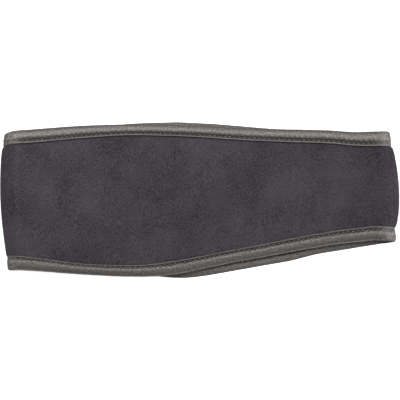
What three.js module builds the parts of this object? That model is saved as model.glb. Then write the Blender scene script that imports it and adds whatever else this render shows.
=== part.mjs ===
// A fleece ear warmer headband: one closed band of stretch fleece, widest over the ears and
// narrow at the nape, with its two long edges wrapped in folded elastic binding. It lies flat
// on a surface as it is stored, bent back on itself at the forehead fold and the nape fold,
// and the hollow between its front and back layers stays open.
// Lengths are in millimetres. +X runs from the forehead fold to the nape fold, +Y from the
// lower edge to the upper edge, +Z up, and the origin is under the middle of the band.
import * as THREE from "three";

// The loop as it lies
const loopWidth = 243; // outside of the bindings, from fold to fold
const loopHeight = 97.6; // lowest point of the lower edge to highest point of the upper edge
const foreheadHollow = 6; // clear height between the layers' bindings at the forehead fold
const napeHollow = 8; // the same at the nape fold
const frontArch = 1.6; // rise of the front layer between its folds
const foreheadLean = 1.6; // how much further towards +X the forehead fold is at the lower edge
const napeLean = 4.4; // the same for the nape fold
const foldBulge = 3.5; // the fleece stands out past the tighter bindings at the folds
const layerBulge = 0.3; // the same on the front layer
const restSquash = 0.15; // how far the bindings are flattened by lying

// The cloth
const fleeceThickness = 3;
const tapeThickness = 0.8; // the elastic tape of a binding
const tapeWidth = 8; // how far a binding reaches in from its outer edge
const seamGap = 0.3; // between the fleece and the binding, all round

// The band's outline, unrolled, from the middle of the forehead fold along the front layer to
// the nape fold at 0.5, and back along the back layer. around is a share of the way round;
// top and foot are shares of loopHeight up from the lowest point; topTape and footTape are
// the bindings' widths there, as shares of tapeWidth.
const bandOutline = [
  { around: 0.0, top: 0.934, foot: 0.051, topTape: 1.0, footTape: 0.98 },
  { around: 0.035, top: 0.954, foot: 0.047, topTape: 0.97, footTape: 1.02 },
  { around: 0.1, top: 0.973, foot: 0.025, topTape: 0.93, footTape: 0.88 },
  { around: 0.155, top: 0.981, foot: 0.01, topTape: 0.8, footTape: 0.92 },
  { around: 0.2, top: 0.981, foot: 0.013, topTape: 0.82, footTape: 1.05 },
  { around: 0.25, top: 0.975, foot: 0.057, topTape: 0.84, footTape: 1.03 },
  { around: 0.3, top: 0.961, foot: 0.108, topTape: 0.88, footTape: 1.01 },
  { around: 0.36, top: 0.952, foot: 0.162, topTape: 0.95, footTape: 1.07 },
  { around: 0.42, top: 0.946, foot: 0.214, topTape: 1.02, footTape: 1.07 },
  { around: 0.47, top: 0.941, foot: 0.241, topTape: 1.11, footTape: 1.16 },
  { around: 0.5, top: 0.938, foot: 0.236, topTape: 1.1, footTape: 1.17 },
  { around: 0.53, top: 0.931, foot: 0.211, topTape: 1.05, footTape: 1.08 },
  { around: 0.6, top: 0.94, foot: 0.151, topTape: 1.0, footTape: 1.0 },
  { around: 0.68, top: 0.967, foot: 0.069, topTape: 1.0, footTape: 1.0 },
  { around: 0.73, top: 0.988, foot: 0.023, topTape: 1.0, footTape: 1.0 },
  { around: 0.78, top: 1.0, foot: 0.0, topTape: 1.0, footTape: 1.0 },
  { around: 0.83, top: 0.992, foot: 0.018, topTape: 1.0, footTape: 1.0 },
  { around: 0.9, top: 0.965, foot: 0.039, topTape: 1.0, footTape: 1.0 },
  { around: 0.965, top: 0.942, foot: 0.052, topTape: 1.0, footTape: 1.0 },
];

// The fleece squeezed inside a binding: place is a share of the way from the fleece's own
// edge to the binding's inner edge, thickness a share of fleeceThickness. The third row lies
// under the stitches.
const squeezedEdge = [
  { place: 0.0, thickness: 0.8 },
  { place: 0.36, thickness: 0.9 },
  { place: 0.75, thickness: 0.55 },
  { place: 1.0, thickness: 0.7 },
];

// The rounded nose of a binding, from its roll to its outermost line: place is a share of the
// way from that line to the fleece's own edge, half a share of the binding's half thickness
// at that edge.
const bindingNose = [
  { place: 0.25, half: 0.72 },
  { place: 0.0, half: 0.3 },
];

// Shares of the free fleece's width, between the two bindings, where its section has a point
const freeShares = [0.05, 0.16, 0.34, 0.5, 0.66, 0.84, 0.95];
const bulgeFullness = 0.5; // under 1 fills the bulge out towards the bindings

const layerSteps = 24; // facets along each flat layer
const foldSteps = 12; // facets round each fold

// One column of bandOutline at a place round the loop, on a smooth closed curve through
// the rows.
function outline(column, around) {
  const count = bandOutline.length;
  const rowAt = (i) => bandOutline[((i % count) + count) % count];
  const placeOf = (i) => rowAt(i).around + Math.floor(i / count);
  const slope = (i) =>
    (rowAt(i + 1)[column] - rowAt(i - 1)[column]) / (placeOf(i + 1) - placeOf(i - 1));
  const i = bandOutline.findLastIndex((row) => row.around <= around);
  const span = placeOf(i + 1) - placeOf(i);
  const t = (around - placeOf(i)) / span;
  const from = rowAt(i)[column];
  const to = rowAt(i + 1)[column];
  const ease = t * t * (3 - 2 * t);
  const leave = t * (1 - t) * (1 - t) * span * slope(i);
  const arrive = t * t * (1 - t) * span * slope(i + 1);
  return from + (to - from) * ease + leave - arrive;
}

const fleeceInset = tapeThickness + seamGap; // from a binding's outermost line to the fleece
const halfThickness = (row) => (row.thickness * fleeceThickness) / 2;
const bindingHalf = (row) => halfThickness(row) + fleeceInset;
const rollHalf = Math.max(...squeezedEdge.map(bindingHalf));

// The distance of a row of squeezedEdge from the outermost line of a binding of this width
const insetOf = (row, width) => THREE.MathUtils.lerp(fleeceInset, width, row.place);

// The path of the wall's middle at the bindings, in X and Z, as points with the share of the
// way round and the outward normal. It starts at the middle of the forehead fold and runs
// over the front layer.
function loopStations() {
  const floor = rollHalf - restSquash;
  const foreheadRadius = foreheadHollow / 2 + rollHalf;
  const napeRadius = napeHollow / 2 + rollHalf;
  const foreheadX = -loopWidth / 2 + rollHalf + foreheadRadius;
  const napeX = loopWidth / 2 - rollHalf - napeRadius;
  const points = [];
  const arc = (x, radius, fromDegrees, toDegrees, steps) => {
    for (let i = 0; i < steps; i++) {
      const angle = THREE.MathUtils.degToRad(
        THREE.MathUtils.lerp(fromDegrees, toDegrees, i / steps),
      );
      points.push(
        new THREE.Vector2(x + radius * Math.cos(angle), floor + radius * (1 + Math.sin(angle))),
      );
    }
  };
  const frontLayerHeight = (t) =>
    floor +
    2 * THREE.MathUtils.lerp(foreheadRadius, napeRadius, THREE.MathUtils.smoothstep(t, 0, 1)) +
    frontArch * Math.sin(Math.PI * t) ** 2;

  arc(foreheadX, foreheadRadius, 180, 90, foldSteps / 2);
  for (let i = 0; i < layerSteps; i++) {
    const t = i / layerSteps;
    points.push(new THREE.Vector2(THREE.MathUtils.lerp(foreheadX, napeX, t), frontLayerHeight(t)));
  }
  arc(napeX, napeRadius, 90, -90, foldSteps);
  for (let i = 0; i < layerSteps; i++) {
    points.push(new THREE.Vector2(THREE.MathUtils.lerp(napeX, foreheadX, i / layerSteps), floor));
  }
  arc(foreheadX, foreheadRadius, 270, 180, foldSteps / 2);

  const count = points.length;
  const stepLengths = points.map((point, i) => point.distanceTo(points[(i + 1) % count]));
  const perimeter = stepLengths.reduce((sum, length) => sum + length, 0);
  let travelled = 0;
  return points.map((point, i) => {
    const along = points[(i + 1) % count].clone().sub(points[(i + count - 1) % count]).normalize();
    const station = { point, normal: new THREE.Vector2(-along.y, along.x), around: travelled / perimeter };
    travelled += stepLengths[i];
    return station;
  });
}

// How far the free fleece's middle stands out from the loop's path, at a share of its width.
// Under the loop it stops where its outer face meets the surface.
function bulge(station, share) {
  const atFold = station.normal.x ** 2;
  const pastBindings = THREE.MathUtils.lerp(layerBulge, foldBulge, atFold);
  const full = (pastBindings + rollHalf - fleeceThickness / 2) * Math.sin(Math.PI * share) ** bulgeFullness;
  const room = station.point.y / -station.normal.y - fleeceThickness / 2;
  return station.normal.y < 0 ? Math.min(full, room) : full;
}

// A point of the wall: y up the band, out from the loop's path, and never under the surface
function wallPoint(station, y, out) {
  const lean = THREE.MathUtils.lerp(foreheadLean, napeLean, 0.5 + station.point.x / loopWidth);
  return new THREE.Vector3(
    station.point.x + station.normal.x * out + lean * (0.5 - y / loopHeight),
    y - loopHeight / 2,
    Math.max(0, station.point.y + station.normal.y * out),
  );
}

// The fleece's closed section at one station: up its outer face and down its inner face
function fleeceRing(station) {
  const foot = outline("foot", station.around) * loopHeight;
  const top = outline("top", station.around) * loopHeight;
  const footWidth = outline("footTape", station.around) * tapeWidth;
  const topWidth = outline("topTape", station.around) * tapeWidth;
  const rows = [
    ...squeezedEdge.map((row) => ({
      y: foot + insetOf(row, footWidth),
      middle: 0,
      half: halfThickness(row),
    })),
    ...freeShares.map((share) => ({
      y: THREE.MathUtils.lerp(foot + footWidth, top - topWidth, share),
      middle: bulge(station, share),
      half: fleeceThickness / 2,
    })),
    ...squeezedEdge.toReversed().map((row) => ({
      y: top - insetOf(row, topWidth),
      middle: 0,
      half: halfThickness(row),
    })),
  ];
  return [
    ...rows.map((row) => wallPoint(station, row.y, row.middle + row.half)),
    ...rows.reverse().map((row) => wallPoint(station, row.y, row.middle - row.half)),
  ];
}

// A binding's closed section: over its outer face, round its nose and back over its inner
// face, then along the channel that holds the fleece's edge
function bindingRing(station, edge) {
  const outermost = outline(edge.line, station.around) * loopHeight;
  const width = outline(edge.width, station.around) * tapeWidth;
  const outside = [
    ...squeezedEdge.toReversed().map((row) => ({ inset: insetOf(row, width), half: bindingHalf(row) })),
    ...bindingNose.map((row) => ({
      inset: row.place * fleeceInset,
      half: row.half * bindingHalf(squeezedEdge[0]),
    })),
  ];
  const channel = squeezedEdge.map((row, i) => ({
    inset: i === 0 ? tapeThickness : insetOf(row, width),
    half: halfThickness(row) + seamGap,
  }));
  const pointOf = (row, side) =>
    wallPoint(station, outermost + edge.inwards * row.inset, side * row.half);
  return [
    ...outside.map((row) => pointOf(row, 1)),
    ...outside.toReversed().map((row) => pointOf(row, -1)),
    ...channel.toReversed().map((row) => pointOf(row, -1)),
    ...channel.map((row) => pointOf(row, 1)),
  ];
}

// One closed body through the sections of all stations, joined end to end
function loftedLoop(rings) {
  const perRing = rings[0].length;
  const indices = [];
  rings.forEach((ring, i) => {
    const here = i * perRing;
    const next = ((i + 1) % rings.length) * perRing;
    for (let j = 0; j < perRing; j++) {
      const k = (j + 1) % perRing;
      indices.push(here + j, next + j, next + k, here + j, next + k, here + k);
    }
  });
  const geometry = new THREE.BufferGeometry().setFromPoints(rings.flat());
  geometry.setIndex(indices);
  geometry.computeVertexNormals();
  return geometry;
}

const fleeceMaterial = new THREE.MeshStandardMaterial({ color: 0x48424a, roughness: 1, metalness: 0 });
const tapeMaterial = new THREE.MeshStandardMaterial({ color: 0x74706d, roughness: 0.6, metalness: 0 });

function fleeceBand(stations) {
  const band = new THREE.Mesh(loftedLoop(stations.map(fleeceRing)), fleeceMaterial);
  band.name = "fleece_band";
  return band;
}

function binding(name, stations, edge) {
  const rings = stations.map((station) => {
    const ring = bindingRing(station, edge);
    return edge.inwards > 0 ? ring.reverse() : ring;
  });
  const tape = new THREE.Mesh(loftedLoop(rings), tapeMaterial);
  tape.name = name;
  return tape;
}

const headband = new THREE.Group();
const stations = loopStations();
headband.add(
  fleeceBand(stations),
  binding("upper_binding", stations, { line: "top", width: "topTape", inwards: -1 }),
  binding("lower_binding", stations, { line: "foot", width: "footTape", inwards: 1 }),
);

// The origin is under the middle of the whole headband
const middle = new THREE.Box3().setFromObject(headband).getCenter(new THREE.Vector3());
headband.position.set(-middle.x, -middle.y, 0);

export default headband;
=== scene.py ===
import math

import bpy
import numpy as np
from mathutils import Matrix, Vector, noise


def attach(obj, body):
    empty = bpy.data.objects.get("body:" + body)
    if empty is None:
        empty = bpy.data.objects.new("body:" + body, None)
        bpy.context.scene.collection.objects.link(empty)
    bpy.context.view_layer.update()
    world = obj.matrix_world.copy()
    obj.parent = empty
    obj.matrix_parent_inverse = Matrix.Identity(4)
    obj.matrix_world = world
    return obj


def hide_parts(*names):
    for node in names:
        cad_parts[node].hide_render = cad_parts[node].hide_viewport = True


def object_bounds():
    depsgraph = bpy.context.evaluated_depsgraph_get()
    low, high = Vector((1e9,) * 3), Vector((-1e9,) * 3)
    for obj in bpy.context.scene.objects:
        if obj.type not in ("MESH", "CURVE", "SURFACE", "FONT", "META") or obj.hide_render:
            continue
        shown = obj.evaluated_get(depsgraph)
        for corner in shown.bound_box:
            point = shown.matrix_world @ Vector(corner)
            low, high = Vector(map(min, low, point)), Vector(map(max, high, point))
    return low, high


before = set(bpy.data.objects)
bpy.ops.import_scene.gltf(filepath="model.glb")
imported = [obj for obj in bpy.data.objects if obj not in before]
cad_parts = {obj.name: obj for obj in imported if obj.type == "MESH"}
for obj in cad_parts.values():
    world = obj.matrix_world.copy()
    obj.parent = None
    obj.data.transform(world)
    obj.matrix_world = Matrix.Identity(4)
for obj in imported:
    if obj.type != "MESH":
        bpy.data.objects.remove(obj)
cadLow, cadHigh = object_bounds()
print("frame loaded")

# A fleece ear warmer headband, lying flat: a closed loop bent back on itself at the forehead
# fold (-X) and the nape fold (+X), its upper edge towards +Y and its front layer up.
mm = 0.001

# the loop as it lies
loop = {
    "foldBulge": 3.3 * mm,  # the fleece stands out past the tighter bindings at the folds
    "foldCrest": 0.3 * mm,  # and past that in its middle
    "napeBulge": 0.25 * mm,  # and a little more at the nape
    "layerBulge": 0.3 * mm,  # how far it stands over them on the layers
    "leastBulge": 0.3 * mm,  # and over the tucked edges anywhere
    "bulgeFullness": 0.68,  # under 1 fills the bulge out towards the bindings
    "foreheadSkew": -0.5,  # above 0 moves the fullest part down, under 0 up
    "napeSkew": 0.2,
    "foreheadReach": 0.45 * mm,  # how much further out the bindings lie at the folds
    "napeReach": 0.05 * mm,
    "foreheadHollow": 6 * mm,  # clear height between the layers' bindings
    "napeHollow": 8 * mm,
    "frontArch": 1.6 * mm,  # how much higher the front layer is in the middle
    "foreheadLean": 2.4 * mm,  # further towards +X at the lower edge
    "napeLean": 5.2 * mm,
    "squash": 0.15 * mm,  # how far lying flattens the bindings
    "sag": 0.5 * mm,  # slow hollows and rises of the front layer
    "sagLength": 60 * mm,
    "sagCells": 48,
    "sagReach": 0.6,  # its grid reaches this far from the middle, as a share of the width
    "pathSteps": 600,
    "fadeShare": 0.76,  # of an edge's foldFade, within which its groove fills up
}

# The outline, unrolled from the middle of the forehead fold over the front layer to the nape
# fold at 0.5 and back under it. The columns are the share of the way round, the upper and the
# lower edge as shares of the height, and the two bindings' widths as shares of the tape's.
outlineColumns = ("around", "top", "foot", "topTape", "footTape")
outlineRows = np.array([
    (0.0, 0.928, 0.046, 0.93, 1.14),
    (0.009, 0.938, 0.047, 0.93, 1.16),
    (0.0175, 0.947, 0.0475, 0.94, 1.15),
    (0.035, 0.953, 0.0425, 0.95, 1.09),
    (0.1, 0.978, 0.0182, 0.93, 0.88),
    (0.155, 0.985, 0.0068, 0.8, 0.92),
    (0.2, 0.985, 0.0125, 0.82, 1.05),
    (0.25, 0.979, 0.057, 0.84, 1.03),
    (0.3, 0.965, 0.108, 0.88, 1.01),
    (0.36, 0.956, 0.162, 0.92, 1.07),
    (0.42, 0.948, 0.214, 0.96, 1.07),
    (0.45, 0.9385, 0.23, 1.01, 1.12),
    (0.47, 0.94, 0.2395, 1.08, 1.16),
    (0.5, 0.942, 0.2285, 1.1, 1.17),
    (0.53, 0.932, 0.2075, 1.05, 1.08),
    (0.6, 0.944, 0.151, 1.0, 1.0),
    (0.64, 0.958, 0.103, 1.0, 1.0),
    (0.68, 0.973, 0.068, 1.0, 1.0),
    (0.73, 0.993, 0.0235, 1.0, 1.0),
    (0.76, 1.0, 0.0, 1.0, 1.0),
    (0.78, 1.004, -0.005, 1.0, 1.0),
    (0.83, 0.995, 0.014, 1.0, 1.0),
    (0.9, 0.968, 0.039, 1.0, 1.0),
    (0.965, 0.948, 0.048, 1.0, 1.0),
])

bandHeight = cadHigh.y - cadLow.y
bandWidth = cadHigh.x - cadLow.x - 2 * loop["foldBulge"]
rollHalf = 2.45 * mm  # half the thickness of a binding's roll


# one column of the outline at places round the loop, on a smooth closed curve through the rows
def outline(name, around):
    place, value = outlineRows[:, 0], outlineRows[:, outlineColumns.index(name)]
    place = np.concatenate([place[-2:] - 1, place, place[:3] + 1])
    value = np.concatenate([value[-2:], value, value[:3]])
    slope = np.gradient(value)
    slope[1:-1] = (value[2:] - value[:-2]) / (place[2:] - place[:-2])
    at = np.mod(around, 1.0)
    i = np.clip(np.searchsorted(place, at, side="right") - 1, 1, len(place) - 3)
    span = place[i + 1] - place[i]
    t = (at - place[i]) / span
    ease = t * t * (3 - 2 * t)
    leave = t * (1 - t) ** 2 * span * slope[i]
    arrive = t * t * (1 - t) * span * slope[i + 1]
    return value[i] + (value[i + 1] - value[i]) * ease + leave - arrive


# The middle of the wall at the bindings, in X and Z: finely spaced points with their share of
# the way round and their outward normals
def wallPath():
    floor = rollHalf - loop["squash"]
    foreheadRadius = loop["foreheadHollow"] / 2 + rollHalf
    napeRadius = loop["napeHollow"] / 2 + rollHalf
    foreheadX = -bandWidth / 2 - loop["foreheadReach"] + rollHalf + foreheadRadius
    napeX = bandWidth / 2 + loop["napeReach"] - rollHalf - napeRadius
    t = np.linspace(0, 1, loop["pathSteps"], endpoint=False)

    def arc(x, radius, start, end):
        angle = np.radians(start + (end - start) * t)
        return np.stack([x + radius * np.cos(angle), floor + radius * (1 + np.sin(angle))], 1)

    ease = t * t * (3 - 2 * t)
    radius = foreheadRadius + (napeRadius - foreheadRadius) * ease
    front = floor + 2 * radius + loop["frontArch"] * np.sin(math.pi * t) ** 2
    points = np.concatenate([
        arc(foreheadX, foreheadRadius, 180, 90),
        np.stack([foreheadX + (napeX - foreheadX) * t, front], 1),
        arc(napeX, napeRadius, 90, -90),
        np.stack([napeX + (foreheadX - napeX) * t, np.full_like(t, floor)], 1),
        arc(foreheadX, foreheadRadius, 270, 180),
    ])
    closed = np.concatenate([points, points[:1]])
    travelled = np.concatenate([[0], np.cumsum(np.linalg.norm(np.diff(closed, axis=0), axis=1))])
    along = np.roll(points, -1, 0) - np.roll(points, 1, 0)
    along /= np.linalg.norm(along, axis=1)[:, None]
    normals = np.stack([-along[:, 1], along[:, 0]], 1)
    return travelled[:-1] / travelled[-1], points, normals, travelled[-1]


pathAround, pathPoints, pathNormals, loopLength = wallPath()
highest = pathPoints[:, 1].max()


# The path's values at places round the loop
def onPath(values, around):
    return np.interp(np.mod(around, 1.0), pathAround, values, period=1.0)


# Smooth seeded noise from -1 to 1 over the arrays x and y, with features of this length
def ripple(x, y, length, seed):
    points = np.stack(np.broadcast_arrays(x / length, y / length), -1)
    flat = [noise.noise(Vector((a, b, seed))) for a, b in points.reshape(-1, 2)]
    return np.array(flat).reshape(points.shape[:-1])


# The same round the loop, where its two ends meet
def wander(around, length, seed):
    radius = loopLength / (2 * math.pi)
    angle = 2 * math.pi * np.asarray(around)
    return ripple(radius * np.cos(angle), radius * np.sin(angle), length, seed)


# The sag is worked out once on a coarse grid, so that every piece follows the same slow hollows
sagCells, sagReach = loop["sagCells"], loop["sagReach"]
sagSide = np.linspace(-sagReach, sagReach, sagCells)
sagGrid = ripple(
    sagSide[:, None] * bandWidth, sagSide[None, :] * bandWidth, loop["sagLength"], seed=3.7
)


def sagAt(x, y):
    column = np.clip((x / bandWidth + sagReach) / (2 * sagReach) * (sagCells - 1), 0, sagCells - 1.001)
    row = np.clip((y / bandWidth + sagReach) / (2 * sagReach) * (sagCells - 1), 0, sagCells - 1.001)
    i, j = column.astype(int), row.astype(int)
    u, v = column - i, row - j
    u, v = u * u * (3 - 2 * u), v * v * (3 - 2 * v)
    near = sagGrid[i, j] * (1 - v) + sagGrid[i, j + 1] * v
    far = sagGrid[i + 1, j] * (1 - v) + sagGrid[i + 1, j + 1] * v
    return near * (1 - u) + far * u


# Points of the wall: around is the share of the way round, y the height up the band from its
# lowest point, and out the distance from the wall's middle
def onWall(around, y, out):
    x, z = onPath(pathPoints[:, 0], around), onPath(pathPoints[:, 1], around)
    nx, nz = onPath(pathNormals[:, 0], around), onPath(pathNormals[:, 1], around)
    atNape = 0.5 + x / bandWidth
    lean = loop["foreheadLean"] + (loop["napeLean"] - loop["foreheadLean"]) * atNape
    x = x + nx * out + lean * (0.5 - y / bandHeight)
    frontness = np.clip(z / highest, 0, 1) ** 2 * np.clip(nz, 0, 1)
    z = z + nz * out + loop["sag"] * frontness * sagAt(x, y)
    return np.stack(np.broadcast_arrays(x, y - bandHeight / 2, np.maximum(z, 0)), -1)


# The bindings' outermost lines and widths, with the small wander of hand-guided sewing. Beside
# the upper one the fleece lies low and is painted dark as the selvedge's shadow, and beside the
# lower one it has come up over the selvedge.
edges = {
    "upper": {
        "section": "upper", "line": "top", "width": "topTape",
        "tape": 8.6 * mm, "inwards": -1, "seed": 11.3,
        "seamHalf": 0.1 * mm,  # half the fleece's thickness beside the selvedge
        "seamStep": 0.85 * mm,  # how soon it springs up again
        "seamDip": 0.6 * mm,  # and how far it is pressed in
        "seamShadow": 1.0,  # how strong the painted shadow beside the selvedge is there
        "selvedgeShade": 0.05,  # how matt and dark the narrow selvedge is; the lower one's higher value is painted shade
        "scallopReach": 0.16 * mm,  # how far the roll steps back at each stitch
        "threadThickness": 0.6 * mm,
        "foldFade": (12.5 * mm, 12.5 * mm),  # the groove fills up this near to a fold: forehead, nape
        "foldLift": (2.3 * mm, 1.8 * mm),  # the bulge starts under the tape, at the same two
        "rollReach": (0.03, 0.03),  # how much further in the roll lies, as a share, at the same two
        "lipDrop": 0.0,  # how far its outermost line hangs under the wall's middle
        "stitchInset": 0.79,
        "stitchHeight": (0.8 * mm, 0.8 * mm),  # over the wall's middle, at the same two
    },
    "lower": {
        "section": "lower", "line": "foot", "width": "footTape",
        "tape": 8 * mm, "inwards": 1, "seed": 23.9,
        "seamHalf": 0.9 * mm,
        "seamStep": 0.4 * mm,
        "seamDip": 0.0,
        "seamShadow": 0.0,
        "selvedgeShade": 0.3,
        "scallopReach": 0.26 * mm,
        "threadThickness": 0.75 * mm,
        "foldFade": (6 * mm, 14 * mm),
        "foldLift": (1.5 * mm, 1.3 * mm),
        "rollReach": (0.15, 0.08),
        "lipDrop": 2.3 * mm,
        "stitchInset": 0.725,
        "stitchHeight": (0.85 * mm, 1.3 * mm),
    },
}
sewing = {
    "lineWander": 0.22 * mm,
    "widthWander": 0.04,  # as a share of the tape's width
    "length": 24 * mm,
}
# the cloth inside a binding, by the share of the binding's width in from the outermost line
tuck = {
    "liftFrom": 0.3,  # at the folds the bulge lifts it from here on inwards
    "liftOver": 0.4,  # and in full this much further in
    "hangOver": 0.45,  # on the layers it hangs from here outwards
    "hangFrom": 0.06,  # as far as it goes from here on
    "hangCurve": 1.5,
}


def edgeLine(edge, around):
    wobble = sewing["lineWander"] * wander(around, sewing["length"], edge["seed"])
    return outline(edge["line"], around) * bandHeight + wobble


def edgeWidth(edge, around):
    wobble = sewing["widthWander"] * wander(around, sewing["length"], edge["seed"] + 5)
    return (outline(edge["width"], around) + wobble) * edge["tape"]


# A value round the loop that changes evenly from the forehead to the nape
def acrossBand(atForehead, atNape, around):
    share = 0.5 + onPath(pathPoints[:, 0], around) / bandWidth
    return atForehead + (atNape - atForehead) * share


# How much of a fold's fullness there is at an edge, from 0 along the layers to 1 at the folds
def foldness(edge, around):
    x, nx = onPath(pathPoints[:, 0], around), onPath(pathNormals[:, 0], around)
    begin = np.where(x < 0, edge["foldFade"][0], edge["foldFade"][1])
    t = np.clip((np.abs(x) - bandWidth / 2 + begin) / (loop["fadeShare"] * begin), 0, 1)
    onTop = np.clip(onPath(pathNormals[:, 1], around), 0, 1)
    return np.maximum(nx ** 2, t * t * (3 - 2 * t) * onTop)


# Where a share of a binding's width lies once the roll has spread inwards
def spread(edge, inset, around):
    reach = acrossBand(*edge["rollReach"], around)
    return inset + reach * np.sin(math.pi * inset) ** 2


# How far outwards the wall's middle lies in a binding, by the share of its width in from the
# outermost line: the bulge at the folds lifts it, and elsewhere the outermost part hangs
def tuckLift(edge, inset, around):
    t = np.clip((inset - tuck["liftFrom"]) / tuck["liftOver"], 0, 1)
    lift = np.where(onPath(pathPoints[:, 0], around) < 0, edge["foldLift"][0], edge["foldLift"][1])
    atFold = foldness(edge, around)
    outermost = np.clip(1 - np.maximum(inset, tuck["hangFrom"]) / tuck["hangOver"], 0, 1)
    hang = edge["lipDrop"] * outermost ** tuck["hangCurve"]
    hang = hang * onPath(pathNormals[:, 1], around)
    return lift * t * t * (3 - 2 * t) * atFold - hang * (1 - atFold)


# A closed tube through a grid of points [station, row], started as a flat grid of as many
# cells; its UV map holds the lengths round the section and along the loop
def loftedTube(name, points):
    stations, rows = points.shape[:2]
    bpy.ops.object.select_all(action="DESELECT")
    bpy.ops.mesh.primitive_grid_add(x_subdivisions=rows, y_subdivisions=stations, calc_uvs=True)
    tube = bpy.context.object
    tube.name = tube.data.name = name
    closed = np.concatenate([points, points[:1]])
    closed = np.concatenate([closed, closed[:, :1]], 1)
    tube.data.vertices.foreach_set("co", closed.reshape(-1))
    across = np.linalg.norm(np.diff(closed, axis=1), axis=2).mean(0)
    across = np.concatenate([[0], np.cumsum(across)])
    corners = np.empty(len(tube.data.loops) * 2)
    tube.data.uv_layers.active.data.foreach_get("uv", corners)
    corners = corners.reshape(-1, 2)
    corners[:, 0] = across[np.rint(corners[:, 0] * rows).astype(int)]
    corners[:, 1] *= loopLength
    tube.data.uv_layers.active.data.foreach_set("uv", corners.reshape(-1))
    bpy.ops.object.mode_set(mode="EDIT")
    bpy.ops.mesh.select_all(action="SELECT")
    bpy.ops.mesh.remove_doubles(threshold=0.001 * mm)
    bpy.ops.mesh.normals_make_consistent(inside=False)
    bpy.ops.object.mode_set(mode="OBJECT")
    bpy.ops.object.shade_smooth()
    return tube


# Gives the corners of a lofted tube a value for the shaders, from a grid [station, row]
def shadeRows(tube, name, values):
    corners = np.empty(len(tube.data.loops) * 2)
    tube.data.uv_layers.active.data.foreach_get("uv", corners)
    across, along = corners[::2], corners[1::2] / loopLength
    row = np.searchsorted(np.unique(across), across) % values.shape[1]
    station = np.rint(along * values.shape[0]).astype(int) % values.shape[0]
    shade = tube.data.attributes.new(name, "FLOAT", "CORNER")
    shade.data.foreach_set("value", values[station, row])


# Raises and lowers a surface along its normals by soft cloud noise of this size
def roughen(piece, name, size, depth):
    clouds = bpy.data.textures.new(name, "CLOUDS")
    clouds.noise_scale = size
    clouds.noise_depth = 1
    displace = piece.modifiers.new(name, "DISPLACE")
    displace.texture = clouds
    displace.texture_coords = "LOCAL"
    displace.strength = depth
    displace.mid_level = 0.5
    bpy.context.view_layer.objects.active = piece
    bpy.ops.object.modifier_apply(modifier=name)


# Nothing reaches under the surface that the headband lies on
def keepOffFloor(piece):
    co = np.empty(len(piece.data.vertices) * 3)
    piece.data.vertices.foreach_get("co", co)
    co = co.reshape(-1, 3)
    co[:, 2] = np.maximum(co[:, 2], 0)
    piece.data.vertices.foreach_set("co", co.reshape(-1))
    piece.data.update()


# the fleece band
fleece = {
    "half": 1.5 * mm,  # half the cloth's thickness
    "stations": 560,
    "outerRows": 78,
    "innerRows": 36,
    "closeRows": np.array([0, 0.25, 0.5, 0.9, 1.4, 2.0]) * mm,  # the first ones beside a seam
    "foldSeam": 0.5 * mm,  # how much thicker it stays beside the seams at the folds
    "springShare": 0.65,  # this much of its thickness comes back at once
    "seamReach": 5 * mm,  # and the rest as far in from a seam as this
    "shadowReach": 0.55 * mm,  # and how far in from a seam its painted shadow reaches
    "pucker": 0.25 * mm,  # small pleats that run in from the stitching
    "puckerLength": 7 * mm,
    "puckerReach": 9 * mm,
    "pileDepth": 0.2 * mm,
    "pileSize": 2.4 * mm,
}
# inside a binding: the share of its width in from its outermost line, and half the thickness
tuckedRows = np.array([
    (0.15, 0.25), (0.2, 0.55), (0.3, 0.75), (0.45, 0.65), (0.6, 0.4), (0.77, 0.2), (0.87, 0.3), (0.96, 0.4),
])


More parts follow.
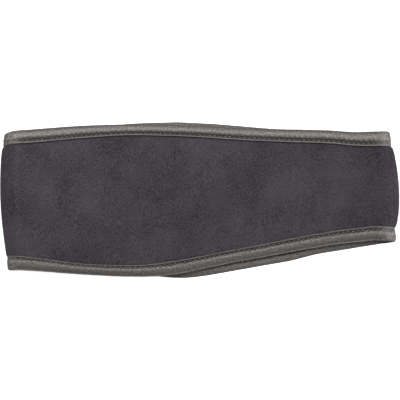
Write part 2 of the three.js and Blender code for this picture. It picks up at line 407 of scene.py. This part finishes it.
def makeFleeceBand():
    around = (np.arange(fleece["stations"]) / fleece["stations"])[:, None]
    flat = around[:, 0]
    foot, top = edgeLine(edges["lower"], flat), edgeLine(edges["upper"], flat)
    footWidth, topWidth = edgeWidth(edges["lower"], flat), edgeWidth(edges["upper"], flat)
    low, high = (foot + footWidth)[:, None], (top - topWidth)[:, None]
    x, z = onPath(pathPoints[:, 0], around), onPath(pathPoints[:, 1], around)
    nx, nz = onPath(pathNormals[:, 0], around), onPath(pathNormals[:, 1], around)
    skew = acrossBand(loop["foreheadSkew"], loop["napeSkew"], around)
    atFold = nx ** 2
    past = loop["layerBulge"] + (loop["foldBulge"] - loop["layerBulge"]) * atFold
    lowLift, highLift = (tuckLift(edges[name], 1, around) for name in ("lower", "upper"))
    fuller = loop["foldCrest"] + np.where(x > 0, loop["napeBulge"], 0)
    crest = past + rollHalf + fuller * atFold - fleece["half"]
    crest = np.maximum(crest, np.maximum(lowLift, highLift) + loop["leastBulge"])

    # one face of the band from the lower edge to the upper one
    def face(rows, side):
        close = fleece["closeRows"]
        t = np.linspace(0, 1, rows - 2 * len(close) + 2)[None, 1:-1]
        span = high - low
        share = (close[-1] + (span - 2 * close[-1]) * t) / span
        share = np.concatenate([close / span, share, 1 - close[::-1] / span], 1)
        y = low + span * share
        skewed = share + skew * share * (1 - share) ** 2
        fullness = np.sin(math.pi * np.clip(skewed, 0, 1)) ** loop["bulgeFullness"]
        lift = lowLift + (highLift - lowLift) * share * share * (3 - 2 * share)
        middle = lift + (crest - lift) * fullness
        under = nz < -0.001  # the floor holds the lower layer up
        room = np.where(under, z / np.maximum(-nz, 0.001) - fleece["half"], 1.0)
        middle = np.minimum(middle, room)

        # thinner beside the stitching, with small pleats running in from it and a painted shadow beside the
        # upper seam
        half = np.full_like(y, fleece["half"])
        seamShadow = np.zeros_like(y)
        for edge, seam in ((edges["lower"], low), (edges["upper"], high)):
            away = np.abs(y - seam)
            spring = 1 - np.exp(-((away / edge["seamStep"]) ** 1.6))
            atOnce = fleece["springShare"]
            swell = atOnce * spring + (1 - atOnce) * np.clip(away / fleece["seamReach"], 0, 1) ** 0.7
            nearFold = foldness(edge, around)
            seamHalf = edge["seamHalf"] + fleece["foldSeam"] * nearFold
            half = np.minimum(half, seamHalf + (fleece["half"] - seamHalf) * swell)
            pleat = wander(flat, fleece["puckerLength"], edge["seed"] + 20)[:, None]
            middle = middle + fleece["pucker"] * pleat * spring * np.exp(-away / fleece["puckerReach"])
            dip = edge["seamDip"] * (1 - nearFold) * np.exp(-((away / edge["seamStep"]) ** 2))
            middle = middle - dip
            # painted shadow: darker where the upper selvedge's shade falls on the fleece
            shadowHere = edge["seamShadow"] * np.exp(-((away / fleece["shadowReach"]) ** 2))
            seamShadow = seamShadow + shadowHere * (1 - nearFold)

        inset, tuckedHalf = tuckedRows[None, :, 0], tuckedRows[None, :, 1] * mm
        footLift, topLift = (tuckLift(edges[name], inset, around) for name in ("lower", "upper"))
        tuckedHalf = np.repeat(tuckedHalf, fleece["stations"], 0)
        footY, topY = foot[:, None] + inset * footWidth[:, None], top[:, None] - inset * topWidth[:, None]
        y = np.concatenate([footY, y, topY[:, ::-1]], 1)
        half = np.concatenate([tuckedHalf, half, tuckedHalf[:, ::-1]], 1)
        middle = np.concatenate([footLift, middle, topLift[:, ::-1]], 1)
        hidden = np.zeros_like(tuckedHalf)
        return onWall(around, y, middle + side * half), np.concatenate([hidden, seamShadow, hidden], 1)

    outer, outerShadow = face(fleece["outerRows"], 1)
    inner, innerShadow = face(fleece["innerRows"], -1)
    band = loftedTube("fleece_loop", np.concatenate([outer, inner[:, ::-1]], 1))
    shadeRows(band, "painted seam shadow", np.concatenate([outerShadow, innerShadow[:, ::-1]], 1))
    roughen(band, "pile clumps", fleece["pileSize"], fleece["pileDepth"])
    keepOffFloor(band)
    return band


# the bindings: elastic tape folded over the fleece's edge, rolled full and stitched down
binding = {
    "stations": 1300,
    "rollPuff": 0.1,  # how much the roll's fullness wanders, as a share
    "puffLength": 30 * mm,
    "foldShadeFade": 0.85,  # the groove's matt dark and painted shade fade out round the folds, where light reaches in
    "stitchPitch": 3.1 * mm,
    "scallop": 0.2 * mm,  # the roll swells between the stitches
    "lumpSize": 3.5 * mm,
    "lumpDepth": 0.14 * mm,
}
stitchCount = round(loopLength / binding["stitchPitch"])
# One face of the section, from the outermost line in: the share of the width, the height over
# the wall's middle in mm on the upper and the lower binding's outer face, on an inner face and at
# the folds, how much that point takes part in the roll's fullness and in the scallops, how much
# painted shade it takes there on the outer faces only, and how matt and dark it is on every face,
# where a value under 0 is the share of the way to the selvedge's own shade; the groove's dark is
# partly painted shade. Beside the outermost line runs a fine crease, where the tape was folded,
# with painted shade along it, and on the lower binding the flank between it and the roll, which
# faces away from the key light, is painted darker as shade. The stitched groove lies outside a
# narrow selvedge.
faceColumns = (
    "inset", "upper", "lower", "inner", "fold", "roll", "scallop", "upperShade", "lowerShade", "matt",
)
faceRows = np.array([
    (0.0, 0.0, 0.0, 0.0, 0.0, 1.0, 0.0, 0.3, 0.1, 0.0),
    (0.003, 0.4, 0.3, 0.3, 1.1, 1.0, 0.0, 0.1, 0.1, 0.0),
    (0.014, 0.72, 0.5, 0.6, 1.5, 1.0, 0.0, 0.0, 0.1, 0.0),
    (0.035, 0.88, 0.56, 0.95, 1.95, 1.0, 0.0, 0.0, 0.15, 0.0),
    (0.055, 0.9, 0.55, 1.2, 2.2, 1.0, 0.0, 0.5, 0.25, 0.0),
    (0.075, 0.95, 0.42, 1.42, 2.3, 1.0, 0.0, 0.8, 0.4, 0.0),
    (0.1, 1.25, 0.46, 1.65, 2.4, 1.0, 0.0, 0.2, 0.35, 0.0),
    (0.14, 1.7, 0.7, 1.95, 2.5, 1.0, 0.0, 0.0, 0.3, 0.0),
    (0.18, 2.08, 1.02, 2.18, 2.58, 1.0, 0.0, 0.0, 0.25, 0.0),
    (0.23, 2.38, 1.38, 2.38, 2.64, 1.0, 0.0, 0.0, 0.2, 0.0),
    (0.29, 2.55, 1.82, 2.5, 2.66, 1.0, 0.0, 0.0, 0.1, 0.0),
    (0.36, 2.63, 2.3, 2.5, 2.64, 1.0, 0.0, 0.0, 0.0, 0.0),
    (0.43, 2.64, 2.62, 2.35, 2.42, 1.0, 0.2, 0.0, 0.0, 0.0),
    (0.5, 2.56, 2.7, 2.12, 2.0, 0.9, 0.5, 0.0, 0.0, 0.0),
    (0.56, 2.32, 2.66, 1.85, 1.6, 0.8, 0.8, 0.0, 0.0, 0.1),
    (0.615, 1.86, 2.25, 1.5, 1.25, 0.5, 1.0, 0.0, 0.0, 0.4),
    (0.665, 1.26, 1.45, 1.15, 1.0, 0.1, 0.9, 0.0, 0.0, 0.8),
    (0.705, 0.84, 0.84, 0.84, 0.82, 0.0, 0.5, 0.0, 0.0, 1.0),
    (0.745, 0.66, 0.66, 0.66, 0.8, 0.0, 0.1, 0.0, 0.0, 1.0),
    (0.79, 0.64, 0.64, 0.64, 0.8, 0.0, 0.0, 0.0, 0.0, 1.0),
    (0.83, 0.78, 0.78, 0.78, 0.88, 0.0, 0.0, 0.0, 0.0, 1.0),
    (0.865, 1.05, 1.05, 1.05, 1.0, 0.0, 0.0, 0.0, 0.0, 0.9),
    (0.9, 1.32, 1.32, 1.32, 1.08, 0.0, 0.0, 0.0, 0.0, -0.4),
    (0.94, 1.42, 1.42, 1.42, 1.1, 0.0, 0.0, 0.0, 0.0, -1.0),
    (0.98, 1.38, 1.38, 1.38, 1.05, 0.0, 0.0, 0.0, 0.0, -1.0),
    (1.0, 1.15, 1.15, 1.15, 0.9, 0.0, 0.0, 0.0, 0.0, 0.5),
    (0.99, 0.9, 0.9, 0.9, 0.75, 0.0, 0.0, 0.0, 0.0, 1.0),
    (0.9, 0.8, 0.8, 0.8, 0.65, 0.0, 0.0, 0.0, 0.0, 1.0),
    (0.77, 0.42, 0.42, 0.42, 0.42, 0.0, 0.0, 0.0, 0.0, 1.0),
    (0.6, 0.75, 0.75, 0.75, 0.6, 0.0, 0.0, 0.0, 0.0, 1.0),
    (0.4, 1.25, 1.25, 1.05, 1.25, 0.0, 0.0, 0.0, 0.0, 1.0),
    (0.2, 1.05, 0.85, 1.0, 1.05, 0.0, 0.0, 0.0, 0.0, 1.0),
    (0.11, 0.5, 0.35, 0.5, 0.5, 0.0, 0.0, 0.0, 0.0, 1.0),
])


def makeBinding(name, edge):
    around = (np.arange(binding["stations"]) / binding["stations"])[:, None]
    flat = around[:, 0]
    line, width = edgeLine(edge, flat)[:, None], edgeWidth(edge, flat)[:, None]
    face = {column: faceRows[None, :, i] for i, column in enumerate(faceColumns)}
    inset, scallop = face["inset"], face["scallop"]
    atFold = foldness(edge, around)
    puff = binding["rollPuff"] * wander(flat, binding["puffLength"], edge["seed"] + 9)[:, None]
    between = -np.cos(2 * math.pi * stitchCount * around)
    inwards = spread(edge, inset, around) * width + edge["scallopReach"] * between * scallop
    y = line + edge["inwards"] * inwards
    lift = tuckLift(edge, inset, around)
    plain = np.where(face["matt"] < 0, 1 + face["matt"] * (1 - edge["selvedgeShade"]), face["matt"])
    # painted shade on the outer faces: the outermost line, the crease, and the lower binding's flank that
    # faces away from the key light
    mattAndShade = plain + face[edge["section"] + "Shade"]
    rows, shades = [], []
    for side, section, matt in ((1, edge["section"], mattAndShade), (-1, "inner", plain)):
        height = face[section] + (face["fold"] - face[section]) * atFold
        out = height * mm * (1 + puff * face["roll"])
        out = out + binding["scallop"] * between * scallop * (1 - atFold)
        rows.append(onWall(around, y, side * out + lift))
        shades.append(matt * (1 - binding["foldShadeFade"] * atFold))
    # the outermost point belongs to both faces, so the second one leaves it out
    tape = loftedTube(name, np.concatenate([rows[0], rows[1][:, :0:-1]], 1))
    shadeRows(tape, "matt yarn and painted shade", np.concatenate([shades[0], shades[1][:, :0:-1]], 1))
    roughen(tape, "soft lumps", binding["lumpSize"], binding["lumpDepth"])
    keepOffFloor(tape)
    return tape


# the stitches: one row on each face of a binding, a grain of thread between two needle holes
stitch = {
    "length": 1.5 * mm,
    "sink": 0.25 * mm,  # how far its two ends are pulled into the tape
    "slant": 0.12 * mm,
    "depths": 0.3 * mm,  # some are pulled deeper than others
    "stray": 0.018,  # and stray across the tape, as a share of its width
}


def makeStitches(name, edge):
    bpy.ops.object.select_all(action="DESELECT")
    bpy.ops.mesh.primitive_uv_sphere_add(segments=8, ring_count=8, radius=1)
    grain = bpy.context.object
    corner = np.array([v.co for v in grain.data.vertices])[None, :, :]
    # sorted, because Blender makes a sphere's faces in another order on each run
    faces = sorted(tuple(f.vertices) for f in grain.data.polygons)
    bpy.data.objects.remove(grain)
    chance = np.random.default_rng(round(edge["seed"]))
    size = chance.uniform(0.75, 1.15, (stitchCount, 1))
    depth = stitch["depths"] * chance.uniform(0, 1, (stitchCount, 1)) ** 2
    stray = stitch["stray"] * chance.uniform(-1, 1, (stitchCount, 1))
    slant = stitch["slant"] * chance.uniform(0.2, 1.2, (stitchCount, 1))
    along = corner[:, :, 2] * size * stitch["length"] / 2
    across = corner[:, :, 0] * edge["threadThickness"] / 2 + slant * corner[:, :, 2]
    raised = corner[:, :, 1] * edge["threadThickness"] / 2 - stitch["sink"] * corner[:, :, 2] ** 2
    centre = (np.arange(stitchCount) / stitchCount)[:, None]
    around = centre + along / loopLength
    line, width = edgeLine(edge, centre[:, 0])[:, None], edgeWidth(edge, centre[:, 0])[:, None]
    lift = tuckLift(edge, edge["stitchInset"], centre)
    y = line + edge["inwards"] * ((spread(edge, edge["stitchInset"], centre) + stray) * width + across)
    height = acrossBand(*edge["stitchHeight"], centre) - depth + raised
    rows = [onWall(around, y, side * height + lift) for side in (1, -1)]
    points = np.concatenate(rows).reshape(-1, 3)
    points[:, 2] = np.maximum(points[:, 2], 0)
    copies = np.arange(2 * stitchCount) * corner.shape[1]
    thread = bpy.data.meshes.new(name)
    thread.from_pydata(points.tolist(), [], [tuple(i + c for i in f) for c in copies for f in faces])
    row = bpy.data.objects.new(name, thread)
    bpy.context.collection.objects.link(row)
    bpy.ops.object.select_all(action="DESELECT")
    row.select_set(True)
    bpy.context.view_layer.objects.active = row
    bpy.ops.object.mode_set(mode="EDIT")
    bpy.ops.mesh.select_all(action="SELECT")
    bpy.ops.mesh.normals_make_consistent(inside=False)
    bpy.ops.object.mode_set(mode="OBJECT")
    bpy.ops.object.shade_smooth()
    return row


fleeceBand = makeFleeceBand()
print("fleece band made")
upperBinding = makeBinding("upper_tape", edges["upper"])
lowerBinding = makeBinding("lower_tape", edges["lower"])
print("bindings made")
upperStitches = makeStitches("upper_stitches", edges["upper"])
lowerStitches = makeStitches("lower_stitches", edges["lower"])
print("stitches made")


# sRGB hex to the linear colour that Blender's sockets take
def colour(hexCode):
    parts = [int(hexCode[i:i + 2], 16) / 255 for i in (1, 3, 5)]
    return [p / 12.92 if p <= 0.04045 else ((p + 0.055) / 1.055) ** 2.4 for p in parts] + [1]


# Adds a node: its own settings, and its inputs by name or number as values or as sockets to link
def addNode(tree, kind, settings=None, inputs=None):
    node = tree.nodes.new(kind)
    for key, value in (settings or {}).items():
        setattr(node, key, value)
    for key, value in (inputs or {}).items():
        if isinstance(value, bpy.types.NodeSocket):
            tree.links.new(value, node.inputs[key])
        else:
            node.inputs[key].default_value = value
    return node


def newMaterial(name):
    material = bpy.data.materials.new(name)
    material.use_nodes = True
    material.node_tree.nodes.clear()
    return material, material.node_tree


# Brushed polyester fleece: knitted, then brushed to a short matt nap that lies in soft clumps
# with larger drifts where a hand has stroked it, and catches a little light at its silhouette.
# Beside the upper seam it is painted near black, as the shadow under the selvedge.
def brushedFleece():
    material, tree = newMaterial("brushed polyester fleece, charcoal")
    place = addNode(tree, "ShaderNodeTexCoord").outputs["Object"]
    lay = addNode(tree, "ShaderNodeMapping", None, {"Vector": place, "Scale": (1, 0.65, 1)})
    tufts = addNode(tree, "ShaderNodeTexNoise", None, {
        "Vector": lay.outputs[0], "Scale": 1 / (0.75 * mm), "Detail": 1.0, "Roughness": 0.7,
    })
    clumps = addNode(tree, "ShaderNodeTexNoise", None, {
        "Vector": lay.outputs[0], "Scale": 1 / (4.5 * mm), "Detail": 2.0, "Roughness": 0.5,
    })
    drifts = addNode(tree, "ShaderNodeTexNoise", None, {
        "Vector": place, "Scale": 1 / (26 * mm), "Detail": 2.0, "Roughness": 0.55,
    })
    fibres = addNode(tree, "ShaderNodeTexNoise", None, {
        "Vector": lay.outputs[0], "Scale": 1 / (0.35 * mm), "Detail": 2.0, "Roughness": 0.7,
    })
    withClumps = addNode(tree, "ShaderNodeMath", {"operation": "MULTIPLY_ADD"}, {
        0: clumps.outputs["Fac"], 1: 0.15, 2: tufts.outputs["Fac"],
    })
    withDrifts = addNode(tree, "ShaderNodeMath", {"operation": "MULTIPLY_ADD"}, {
        0: drifts.outputs["Fac"], 1: 0.5, 2: withClumps.outputs[0],
    })
    tone = addNode(tree, "ShaderNodeMapRange", None, {
        "Value": withDrifts.outputs[0], "From Min": 0.49, "From Max": 1.17,
    })
    shade = addNode(tree, "ShaderNodeMix", {"data_type": "RGBA"}, {
        0: tone.outputs[0], 6: colour("#262228"), 7: colour("#5c555d"),
    })
    # painted shadow, near black, beside the upper seam
    seamShadowMap = addNode(tree, "ShaderNodeAttribute", {"attribute_name": "painted seam shadow"})
    seamShade = addNode(tree, "ShaderNodeMix", {"data_type": "RGBA"}, {
        0: seamShadowMap.outputs["Fac"], 6: shade.outputs[2], 7: colour("#17141a"),
    })
    rough = addNode(tree, "ShaderNodeBump", None, {
        "Strength": 0.7, "Distance": 0.25 * mm, "Height": fibres.outputs["Fac"],
    })
    soft = addNode(tree, "ShaderNodeBump", None, {
        "Strength": 0.6, "Distance": 0.4 * mm, "Height": tufts.outputs["Fac"],
        "Normal": rough.outputs[0],
    })
    surface = addNode(tree, "ShaderNodeBsdfPrincipled", None, {
        "Base Color": seamShade.outputs[2], "Roughness": 0.95, "Specular IOR Level": 0.15,
        "Sheen Weight": 0.18, "Sheen Roughness": 0.45, "Sheen Tint": colour("#c8c8c8"),
        "Normal": soft.outputs[0],
    })
    addNode(tree, "ShaderNodeOutputMaterial", None, {"Surface": surface.outputs[0]})
    return material


# Knitted nylon and spandex elastic: the filament yarn gives a satin light along the roll,
# flecked across the tape where its ribs bunch. The ribs are drawn twice as wide as real ones,
# so that they show. The stitched groove is matt and dark, partly for the ground yarn and partly
# as painted shade, and the same attribute paints shade into the crease and onto the lower
# binding's outer flank.
def satinElastic():
    material, tree = newMaterial("knitted satin elastic, warm grey")
    cloth = addNode(tree, "ShaderNodeTexCoord").outputs["UV"]
    place = addNode(tree, "ShaderNodeTexCoord").outputs["Object"]
    acrossTape = addNode(tree, "ShaderNodeMapping", None, {"Vector": cloth, "Scale": (0.7, 1, 1)})
    flecks = addNode(tree, "ShaderNodeTexNoise", None, {
        "Vector": acrossTape.outputs[0], "Scale": 1 / (1.15 * mm), "Detail": 2.0, "Roughness": 0.75,
    })
    drifts = addNode(tree, "ShaderNodeTexNoise", None, {
        "Vector": place, "Scale": 1 / (7 * mm), "Detail": 2.0, "Roughness": 0.5,
    })
    ribs = addNode(tree, "ShaderNodeTexWave", {"bands_direction": "Y"}, {
        "Vector": cloth, "Scale": 2 * math.pi / (20 * 1.2 * mm), "Distortion": 1.5,
        "Detail": 1.0, "Detail Scale": 2.0,
    })
    fleck = addNode(tree, "ShaderNodeMapRange", None, {
        "Value": flecks.outputs["Fac"], "From Min": 0.34, "From Max": 0.66,
    })
    yarn = addNode(tree, "ShaderNodeMix", {"data_type": "RGBA"}, {
        0: fleck.outputs[0], 6: colour("#54504c"), 7: colour("#9c9793"),
    })
    drift = addNode(tree, "ShaderNodeMapRange", None, {
        "Value": drifts.outputs["Fac"], "From Min": 0.35, "From Max": 0.65, "To Max": 0.4,
    })
    satin = addNode(tree, "ShaderNodeMix", {"data_type": "RGBA"}, {
        0: drift.outputs[0], 6: yarn.outputs[2], 7: colour("#7c7775"),
    })
    # the groove's matt dark holds the ground yarn together with painted shade, and the same value paints
    # shade into the crease and onto the lower flank
    matt = addNode(tree, "ShaderNodeAttribute", {"attribute_name": "matt yarn and painted shade"}).outputs["Fac"]
    shade = addNode(tree, "ShaderNodeMix", {"data_type": "RGBA"}, {
        0: matt, 6: satin.outputs[2], 7: colour("#3c3733"),
    })
    gloss = addNode(tree, "ShaderNodeMapRange", None, {
        "Value": matt, "To Min": 0.52, "To Max": 0.9,
    })
    ribBump = addNode(tree, "ShaderNodeBump", None, {
        "Strength": 0.25, "Distance": 0.12 * mm, "Height": ribs.outputs["Fac"],
    })
    fleckBump = addNode(tree, "ShaderNodeBump", None, {
        "Strength": 0.8, "Distance": 0.25 * mm, "Height": flecks.outputs["Fac"],
        "Normal": ribBump.outputs[0],
    })
    surface = addNode(tree, "ShaderNodeBsdfPrincipled", None, {
        "Base Color": shade.outputs[2], "Roughness": gloss.outputs[0], "Specular IOR Level": 0.6,
        "Sheen Weight": 0.05, "Sheen Roughness": 0.4, "Sheen Tint": colour("#d8d6d2"),
        "Normal": fleckBump.outputs[0],
    })
    addNode(tree, "ShaderNodeOutputMaterial", None, {"Surface": surface.outputs[0]})
    return material


# Spun polyester sewing thread: two plies twisted together, a shade lighter than the tape
def spunThread():
    material, tree = newMaterial("spun polyester thread, light grey")
    place = addNode(tree, "ShaderNodeTexCoord").outputs["Object"]
    plies = addNode(tree, "ShaderNodeTexNoise", None, {
        "Vector": place, "Scale": 1 / (0.4 * mm), "Detail": 1.0,
    })
    twist = addNode(tree, "ShaderNodeBump", None, {
        "Strength": 0.5, "Distance": 0.1 * mm, "Height": plies.outputs["Fac"],
    })
    ply = addNode(tree, "ShaderNodeMix", {"data_type": "RGBA"}, {
        0: plies.outputs["Fac"], 6: colour("#716d69"), 7: colour("#8d8984"),
    })
    surface = addNode(tree, "ShaderNodeBsdfPrincipled", None, {
        "Base Color": ply.outputs[2], "Roughness": 0.6, "Specular IOR Level": 0.4,
        "Sheen Weight": 0.1, "Normal": twist.outputs[0],
    })
    addNode(tree, "ShaderNodeOutputMaterial", None, {"Surface": surface.outputs[0]})
    return material


# Matt white studio paper
def studioPaper():
    material, tree = newMaterial("matt white studio paper")
    place = addNode(tree, "ShaderNodeTexCoord").outputs["Object"]
    grain = addNode(tree, "ShaderNodeTexNoise", None, {"Vector": place, "Scale": 1 / (0.5 * mm)})
    tooth = addNode(tree, "ShaderNodeBump", None, {
        "Strength": 0.05, "Distance": 0.05 * mm, "Height": grain.outputs["Fac"],
    })
    surface = addNode(tree, "ShaderNodeBsdfPrincipled", None, {
        "Base Color": colour("#f4f4f4"), "Roughness": 0.9, "Specular IOR Level": 0.1,
        "Emission Color": colour("#ffffff"), "Emission Strength": studio["floorGlow"],
        "Normal": tooth.outputs[0],
    })
    addNode(tree, "ShaderNodeOutputMaterial", None, {"Surface": surface.outputs[0]})
    return material


# the studio: a pale floor, a long soft light close over the headband, a low one at each side for
# its fold ends, and a little light from all round
studio = {
    "floorSide": 6.0,
    "floorGlow": 0.92,
    "domeStrength": 0.11,
    "keyPower": 2.2,
    "keySize": (1.1, 0.14),  # along X and along Y, as long as it doesn't slant in X
    "keyPlace": (-0.2, 0.15, 0.95),
    "keyAim": (-0.2, 0.14, 0.0),
    "keySpread": 80,  # degrees: a grid keeps its light off the sides
    "sideHeight": 0.5,
    "sideSize": 0.9,
    "sideLights": {"left": (-2.4, 0.8, 6.0), "right": (2.4, 0.0, 34.0)},  # X, Y and power
    "cameraHeight": 1.6,
    "photoWidth": 251.2 * mm,  # what the photograph's width takes in at the headband
}

fleeceFinish, tapeFinish, threadFinish = brushedFleece(), satinElastic(), spunThread()
fleeceBand.data.materials.append(fleeceFinish)
for piece in (upperBinding, lowerBinding):
    piece.data.materials.append(tapeFinish)
for piece in (upperStitches, lowerStitches):
    piece.data.materials.append(threadFinish)
print("materials made")

bpy.ops.object.select_all(action="DESELECT")
bpy.ops.mesh.primitive_plane_add(size=studio["floorSide"])
floor = bpy.context.object
floor.name = "floor"
floor.data.materials.append(studioPaper())
floor.visible_diffuse = False  # white, and yet it throws no light up at the flanks
floor.visible_glossy = False

world = bpy.data.worlds.new("studio dome")
world.use_nodes = True
world.node_tree.nodes["Background"].inputs["Color"].default_value = colour("#ffffff")
world.node_tree.nodes["Background"].inputs["Strength"].default_value = studio["domeStrength"]
bpy.context.scene.world = world

bpy.ops.object.light_add(type="AREA", location=studio["keyPlace"])
key = bpy.context.object
key.name = "key light"
key.data.energy = studio["keyPower"]
key.data.shape = "RECTANGLE"
key.data.size, key.data.size_y = studio["keySize"]
key.data.spread = math.radians(studio["keySpread"])
towards = Vector(studio["keyAim"]) - Vector(studio["keyPlace"])
key.rotation_euler = towards.to_track_quat("-Z", "Y").to_euler()

for name, (x, y, power) in studio["sideLights"].items():
    place = Vector((x, y, studio["sideHeight"]))
    bpy.ops.object.light_add(type="AREA", location=place)
    fill = bpy.context.object
    fill.name = name + " side light"
    fill.data.energy = power
    fill.data.size = studio["sideSize"]
    fill.rotation_euler = (-place).to_track_quat("-Z", "Y").to_euler()

# straight over the middle of the headband, far enough off to look flat
middle = (cadLow + cadHigh) / 2
bpy.ops.object.camera_add(location=(middle.x, middle.y, middle.z + studio["cameraHeight"]))
camera = bpy.context.object
camera.data.sensor_width = 36
camera.data.lens = 36 * studio["cameraHeight"] / studio["photoWidth"]
bpy.context.scene.camera = camera
bpy.context.scene.view_settings.view_transform = "Standard"
print("studio set")

pieces = {
    fleeceBand: ("fleece_band", "fleece"),
    upperBinding: ("upper_binding", "binding"),
    lowerBinding: ("lower_binding", "binding"),
    upperStitches: (None, "binding"),
    lowerStitches: (None, "binding"),
}
for piece, (node, slot) in pieces.items():
    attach(piece, "root")
    if node:
        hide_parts(node)

# the fleece strip's mean height between its two edges
everyPlace = np.linspace(0, 1, 200, endpoint=False)
meanHeight = float(np.mean(outline("top", everyPlace) - outline("foot", everyPlace))) * bandHeight
